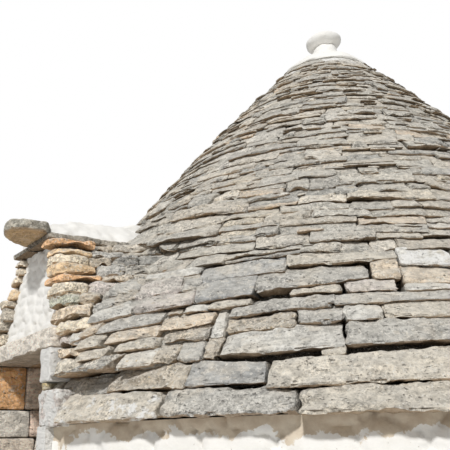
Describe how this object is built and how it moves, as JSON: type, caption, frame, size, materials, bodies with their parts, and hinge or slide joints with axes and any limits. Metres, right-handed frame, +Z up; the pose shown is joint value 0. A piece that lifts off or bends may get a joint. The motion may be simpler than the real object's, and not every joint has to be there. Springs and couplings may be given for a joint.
{
  "type": "trullo house",
  "caption": "Round dry-stone trullo with limewashed walls, a corbelled stone cone, a gabled doorway and a white pinnacle.",
  "frame": {"origin": "on the axis of the stone cone, at ground level", "axes": "+Z up, the doorway faces -Y, +X to the right of someone who faces the house looking along +Y"},
  "size_m": [6, 6.0356, 5.4376],
  "materials": {
    "floor_stone": "worn, slightly smooth",
    "white_mortar": "matt limewash over mortar",
    "white_field": "matt limewash over coursed rubble",
    "limewashed_wall": "matt limewash over rubble masonry",
    "roof_stone": "rough weathered limestone slabs",
    "gable_stone": "rough pale and orange limestone",
    "lintel_stone": "dressed limestone with traces of limewash",
    "slab_stone": "rough weathered limestone",
    "inner_stone": "rough limestone, sheltered"
  },
  "bodies": {
    "root": {"floor": "floor_stone", "threshold": "floor_stone", "left_pier": "limewashed_wall", "right_pier": "limewashed_wall", "wall_1": "limewashed_wall", "wall_2": "limewashed_wall", "wall_3": "limewashed_wall", "wall_4": "limewashed_wall", "wall_5": "limewashed_wall", "wall_6": "limewashed_wall", "front_lintel": "lintel_stone", "back_lintel": "inner_stone", "vault_foot": "inner_stone", "vault_lower": "inner_stone", "vault_middle": "inner_stone", "vault_upper": "inner_stone", "vault_crown": "inner_stone", "closing_slab": "inner_stone", "eave_course": "roof_stone", "thick_courses": "roof_stone", "roof_band_1": "roof_stone", "roof_band_2": "roof_stone", "roof_band_3": "roof_stone", "roof_band_4": "roof_stone", "roof_band_5": "roof_stone", "roof_band_6": "roof_stone", "roof_cap": "white_mortar", "neck": "white_mortar", "pinnacle": "white_mortar", "tympanum": "white_field", "left_gable": "gable_stone", "right_gable": "gable_stone", "ridge_bed": "slab_stone", "ridge_mortar": "white_mortar", "ridge_fillet": "white_mortar", "peak_slab": "slab_stone"}
  },
  "joints": []
}
